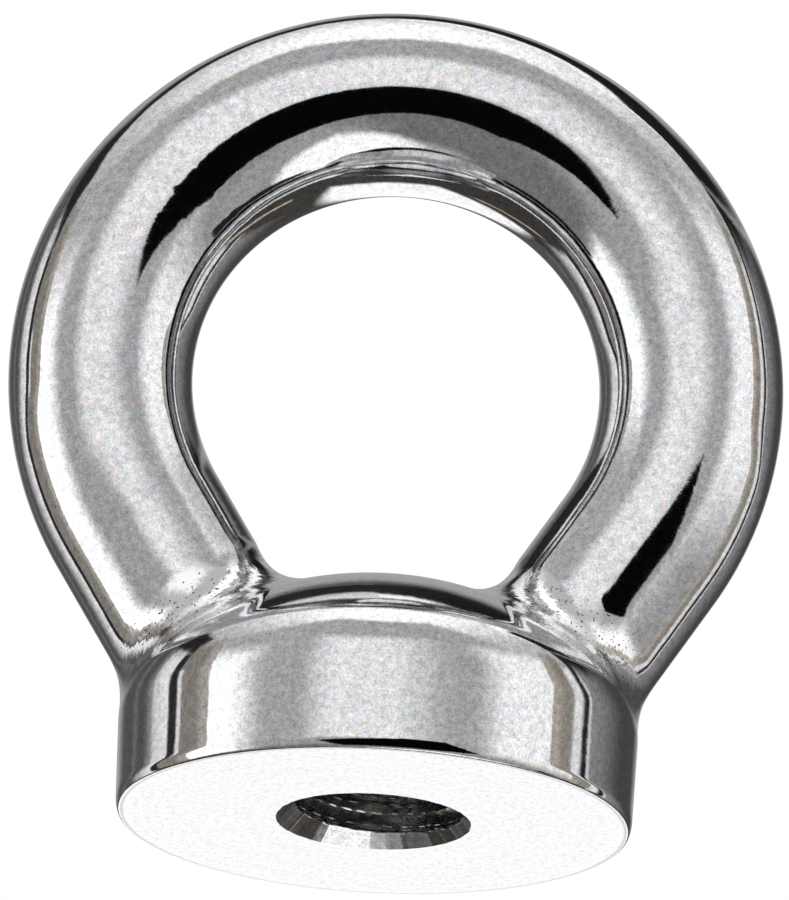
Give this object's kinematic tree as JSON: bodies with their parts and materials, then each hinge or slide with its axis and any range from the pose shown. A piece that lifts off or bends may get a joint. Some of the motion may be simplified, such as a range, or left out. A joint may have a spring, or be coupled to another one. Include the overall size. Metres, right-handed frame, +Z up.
{
  "type": "eye nut",
  "caption": "Forged eye nut: a round-bar lifting and lashing eye on a round crowned base, with a countersunk blind threaded hole in its flat underside.",
  "frame": {"origin": "centre of the base's flat underside, on the threaded hole's axis", "axes": "+Z up along the threaded hole's axis through the top of the eye; +X across the eye's width; +Y along the line that passes through the eye"},
  "size_m": [0.0332, 0.0222, 0.036],
  "materials": {
    "polished_stainless": "mirror-polished solid stainless steel, not plated, with a finely turned underside"
  },
  "bodies": {
    "root": {"eye_nut": "polished_stainless"}
  },
  "joints": []
}
